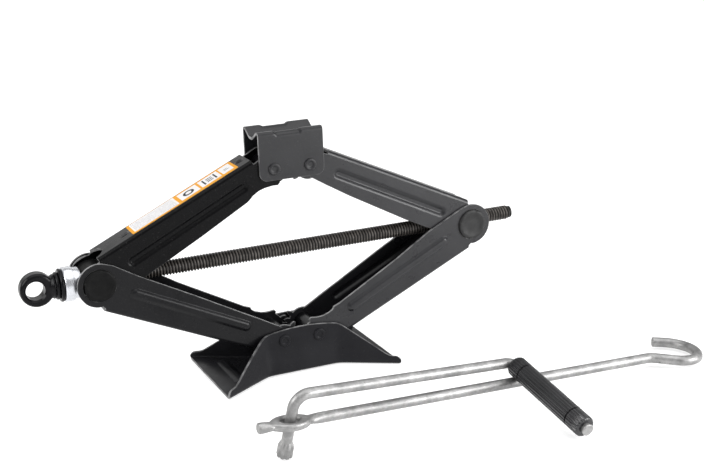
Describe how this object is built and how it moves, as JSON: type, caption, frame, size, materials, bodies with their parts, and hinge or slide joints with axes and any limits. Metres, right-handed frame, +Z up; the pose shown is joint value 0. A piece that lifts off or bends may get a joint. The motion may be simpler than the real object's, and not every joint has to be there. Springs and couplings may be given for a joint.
{
  "type": "scissor car jack",
  "caption": "Scissor screw jack with waisted foot, grooved head and drive eye, with a loose folding crank handle lying beside it.",
  "frame": {"origin": "middle of the underside of the jack's foot", "axes": "+X along the screw towards its free end, away from the drive eye; +Y to the back, away from the crank handle; +Z up"},
  "size_m": [0.5083, 0.2946, 0.1979],
  "materials": {
    "black_paint": "semi-gloss",
    "black_oxide": "satin",
    "oiled_steel": "oiled, dark",
    "zinc": "bright zinc plate",
    "zinc_rod": "zinc plate, slightly mottled",
    "bearing_steel": "polished",
    "grip_plastic": "gloss",
    "label_paper": "printed film"
  },
  "bodies": {
    "base": {"foot": "black_paint", "base_pin_left": "black_paint", "base_pin_right": "black_paint", "base_spacer_left": "bearing_steel", "base_spacer_right": "bearing_steel"},
    "lower_left": {"lower_left_arm": "black_paint"},
    "lower_right": {"lower_right_arm": "black_paint"},
    "upper_left": {"upper_left_arm": "black_paint", "label": "label_paper"},
    "upper_right": {"upper_right_arm": "black_paint"},
    "left_pivot": {"left_trunnion": "black_oxide", "rear_race": "bearing_steel"},
    "right_pivot": {"right_trunnion_nut": "black_oxide"},
    "screw_unit": {"screw": "oiled_steel", "eye": "black_oxide", "thrust_washers": "black_oxide", "bearing_collar": "zinc", "front_race": "bearing_steel", "bearing_balls": "bearing_steel"},
    "head_unit": {"head": "black_paint", "head_pin_left": "black_paint", "head_pin_right": "black_paint", "head_spacer_left": "bearing_steel", "head_spacer_right": "bearing_steel"},
    "handle_rod": {"hook_rod": "zinc_rod"},
    "handle_crank": {"crank": "zinc_rod"},
    "handle_grip": {"grip": "grip_plastic"}
  },
  "joints": [
    {"name": "lift", "type": "hinge", "parent": "base", "child": "lower_left", "pos_m": [-0.015, 0, 0.028], "axis": [0, 1, 0], "range_deg": [-17.6, 32.6]},
    {"name": "lower_right_pivot", "type": "hinge", "parent": "base", "child": "lower_right", "pos_m": [0.015, 0, 0.028], "axis": [0, 1, 0], "range_deg": [-33.1, 18.1]},
    {"name": "left_trunnion_pivot", "type": "hinge", "parent": "lower_left", "child": "left_pivot", "pos_m": [-0.15868, 0, 0.09839], "axis": [0, 1, 0], "range_deg": [-33.1, 18.1]},
    {"name": "upper_left_pivot", "type": "hinge", "parent": "lower_left", "child": "upper_left", "pos_m": [-0.15868, 0, 0.09839], "axis": [0, 1, 0], "range_deg": [-66.2, 36.2]},
    {"name": "head_pivot", "type": "hinge", "parent": "upper_left", "child": "head_unit", "pos_m": [-0.015, 0, 0.16878], "axis": [0, 1, 0], "range_deg": [-18.1, 33.1]},
    {"name": "right_trunnion_pivot", "type": "hinge", "parent": "lower_right", "child": "right_pivot", "pos_m": [0.15868, 0, 0.09839], "axis": [0, 1, 0], "range_deg": [-18.1, 33.1]},
    {"name": "upper_right_pivot", "type": "hinge", "parent": "lower_right", "child": "upper_right", "pos_m": [0.15868, 0, 0.09839], "axis": [0, 1, 0], "range_deg": [-36.2, 66.2]},
    {"name": "screw_spin", "type": "hinge", "parent": "left_pivot", "child": "screw_unit", "pos_m": [-0.204, 0, 0.09839], "axis": [1, 0, 0], "continuous": true},
    {"name": "handle_lift", "type": "slide", "parent": "base", "child": "handle_rod", "axis": [0, 0, 1], "range_m": [0, 0.25]},
    {"name": "crank_fold", "type": "hinge", "parent": "handle_rod", "child": "handle_crank", "pos_m": [-0.07, -0.1687, 0.0281], "axis": [0, 0, -1], "range_deg": [0, 180]},
    {"name": "grip_spin", "type": "hinge", "parent": "handle_crank", "child": "handle_grip", "pos_m": [0.11622, -0.15307, 0.03006], "axis": [0.0838, -0.9698, -0.2289], "continuous": true}
  ],
  "couplings": [
    {"joint": "lower_right_pivot", "follows": "lift", "ratio": -1},
    {"joint": "left_trunnion_pivot", "follows": "lift", "ratio": -1},
    {"joint": "upper_left_pivot", "follows": "lift", "ratio": -2},
    {"joint": "head_pivot", "follows": "lift", "ratio": 1},
    {"joint": "right_trunnion_pivot", "follows": "lift", "ratio": 1},
    {"joint": "upper_right_pivot", "follows": "lift", "ratio": 2}
  ]
}
